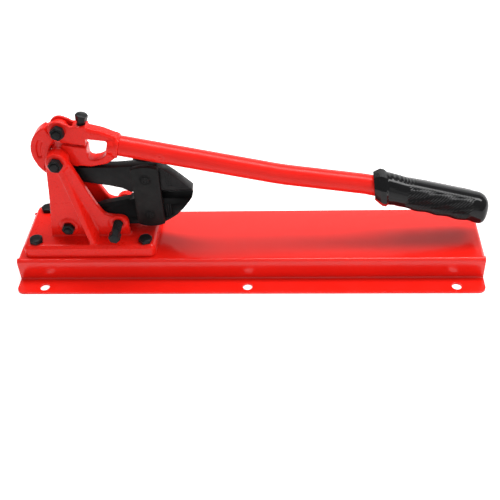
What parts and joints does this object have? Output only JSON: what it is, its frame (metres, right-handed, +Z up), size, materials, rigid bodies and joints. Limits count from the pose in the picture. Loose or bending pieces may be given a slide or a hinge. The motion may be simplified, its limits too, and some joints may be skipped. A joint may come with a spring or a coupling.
{
  "type": "bench bolt cutter",
  "caption": "Bench-mounted bolt cutter: lever, toggle link and cutting jaws in a cast frame on a long folded steel base with bolt-down flanges.",
  "frame": {"origin": "centre of the rectangle of four outer bench bolt holes, on the underside of the flanges", "axes": "+X along the base towards the hand grip, +Y away from the nut side of the frame, +Z up out of the bench"},
  "size_m": [0.6073, 0.1594, 0.2218],
  "materials": {
    "red_paint": "glossy red paint",
    "red_casting": "glossy red paint over a rough casting",
    "blade_steel": "blackened tool steel with ground bevels",
    "plate_steel": "black oxide, satin",
    "black_hardware": "black oxide, satin",
    "zinc_washer": "zinc plated",
    "grip_vinyl": "glossy black moulded vinyl"
  },
  "bodies": {
    "bench": {"base_channel": "red_paint", "frame_casting": "red_casting", "frame_bolts": "black_hardware", "frame_washers": "zinc_washer", "frame_nuts": "black_hardware", "lever_pivot_bolt": "black_hardware", "lever_pivot_nut": "black_hardware", "anchor_bolt": "black_hardware", "anchor_nut": "black_hardware", "anchor_spacers": "black_hardware", "lower_jaw": "blade_steel"},
    "handle": {"handle_head": "red_casting", "handle_tube": "red_paint", "handle_rivet": "red_paint", "hand_grip": "grip_vinyl", "link_bolt": "black_hardware", "link_nut": "black_hardware"},
    "toggle_link": {"toggle_link": "red_casting", "tail_pin": "plate_steel"},
    "side_plates": {"front_side_plate": "plate_steel", "rear_side_plate": "plate_steel", "upper_jaw_pin": "plate_steel", "lower_jaw_pin": "plate_steel"},
    "upper_jaw": {"upper_jaw": "blade_steel"},
    "adjusting_screw": {"adjusting_screw": "black_hardware"},
    "front_clamp_screw": {"front_clamp_screw": "black_hardware"}
  },
  "joints": [
    {"name": "handle_swing", "type": "hinge", "parent": "bench", "child": "handle", "pos_m": [-0.2276, 0, 0.1648], "axis": [0, -1, 0], "range_deg": [0, 80]},
    {"name": "link_swing", "type": "hinge", "parent": "handle", "child": "toggle_link", "pos_m": [-0.2216, 0, 0.2008], "axis": [0, -1, 0], "range_deg": [-46.9, 0]},
    {"name": "side_plate_swing", "type": "hinge", "parent": "bench", "child": "side_plates", "pos_m": [-0.124, 0, 0.078], "axis": [0, -1, 0], "range_deg": [0, 5]},
    {"name": "upper_jaw_swing", "type": "hinge", "parent": "side_plates", "child": "upper_jaw", "pos_m": [-0.124, 0, 0.132], "axis": [0, -1, 0], "range_deg": [0, 5]},
    {"name": "adjusting_screw_travel", "type": "slide", "parent": "handle", "child": "adjusting_screw", "axis": [0.225, 0, 0.9744], "range_m": [0, 0.006]},
    {"name": "front_clamp_travel", "type": "slide", "parent": "bench", "child": "front_clamp_screw", "axis": [0, -1, 0], "range_m": [0, 0.01]}
  ],
  "couplings": [
    {"joint": "link_swing", "follows": "handle_swing", "ratio": -0.58381},
    {"joint": "side_plate_swing", "follows": "handle_swing", "ratio": 0.060721},
    {"joint": "upper_jaw_swing", "follows": "handle_swing", "ratio": 0.060721}
  ]
}
